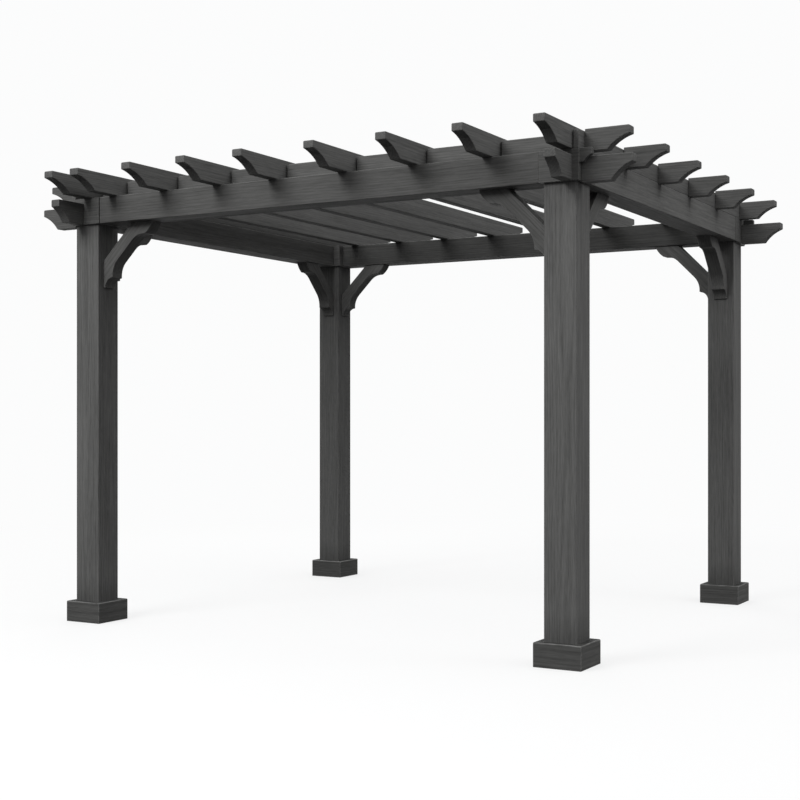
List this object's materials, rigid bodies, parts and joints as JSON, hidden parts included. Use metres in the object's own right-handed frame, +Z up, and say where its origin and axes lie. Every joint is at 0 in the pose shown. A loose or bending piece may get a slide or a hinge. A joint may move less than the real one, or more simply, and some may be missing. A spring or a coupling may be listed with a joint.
{
  "type": "garden pergola",
  "caption": "Free-standing wooden garden pergola: square posts with base skirts, a ring of beams, arched knee braces and an open roof of rafters with scooped tails.",
  "frame": {"origin": "on the ground, midway between the posts", "axes": "+X along the front to the right, +Y from the front to the back, +Z up"},
  "size_m": [3.274, 3.064, 2.283],
  "materials": {
    "posts": "charcoal grey stain over straight grain, matt",
    "skirts": "charcoal grey stain over straight grain, matt",
    "beams": "charcoal grey stain over straight grain, matt",
    "rafters": "charcoal grey stain over straight grain, matt",
    "tails": "charcoal grey stain over straight grain, matt",
    "braces": "charcoal grey stain over straight grain, matt"
  },
  "bodies": {
    "root": {"post_front_left": "posts", "post_front_right": "posts", "post_back_left": "posts", "post_back_right": "posts", "skirt_front_left": "skirts", "skirt_front_right": "skirts", "skirt_back_left": "skirts", "skirt_back_right": "skirts", "head_front_left": "beams", "head_front_right": "beams", "head_back_left": "beams", "head_back_right": "beams", "tails_front_left": "tails", "tails_front_right": "tails", "tails_back_left": "tails", "tails_back_right": "tails", "brace_x_front_left": "braces", "brace_x_front_right": "braces", "brace_x_back_left": "braces", "brace_x_back_right": "braces", "brace_y_front_left": "braces", "brace_y_front_right": "braces", "brace_y_back_left": "braces", "brace_y_back_right": "braces", "beam_front": "beams", "beam_back": "beams", "beam_left": "beams", "beam_right": "beams", "rafter_1": "rafters", "rafter_2": "rafters", "rafter_3": "rafters", "rafter_4": "rafters", "rafter_5": "rafters", "rafter_6": "rafters", "rafter_7": "rafters", "rafter_8": "rafters", "rafter_9": "rafters", "blocking_front": "rafters", "rim_left": "rafters", "rim_right": "rafters", "side_tails_left": "tails", "side_tails_right": "tails"}
  },
  "joints": []
}
